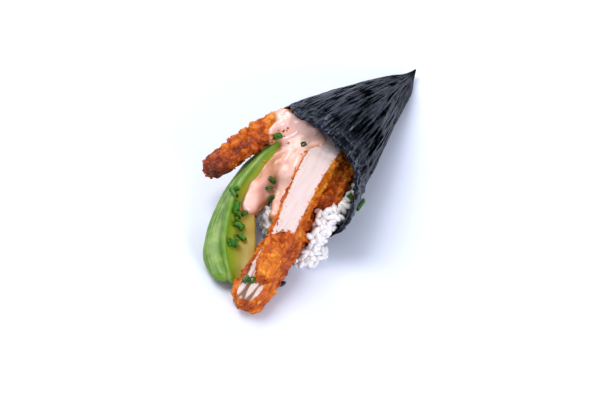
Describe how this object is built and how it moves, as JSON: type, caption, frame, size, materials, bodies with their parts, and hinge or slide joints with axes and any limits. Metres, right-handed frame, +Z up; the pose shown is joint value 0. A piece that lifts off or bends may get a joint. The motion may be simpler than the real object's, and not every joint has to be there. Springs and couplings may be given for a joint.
{
  "type": "temaki hand roll",
  "caption": "Nori cone lying on its side, filled with sushi rice, breaded chicken strips and avocado slices, with a thick pink sauce and chopped chives over them.",
  "frame": {"origin": "centre of the bounding box in plan, on the surface the roll rests on", "axes": "+Z up, +Y along the cone toward its closed tip, the open mouth and the fillings toward -Y"},
  "size_m": [0.0772, 0.177, 0.0486],
  "materials": {
    "nori": "satin, finely wrinkled, blue-black",
    "breaded_chicken": "rough crumb crust, golden to dark brown, with moist white cut faces",
    "avocado": "moist satin, green at the outer edge and yellow toward the stone side",
    "sauce": "thick, glossy, slightly translucent",
    "rice": "moist, satin, translucent white grains"
  },
  "bodies": {
    "root": {"nori_wrap": "nori", "katsu_front_upper": "breaded_chicken", "katsu_front_lower": "breaded_chicken", "katsu_back": "breaded_chicken", "katsu_short": "breaded_chicken", "avocado_over": "avocado", "avocado_under": "avocado", "sauce": "sauce", "rice": "rice"}
  },
  "joints": []
}
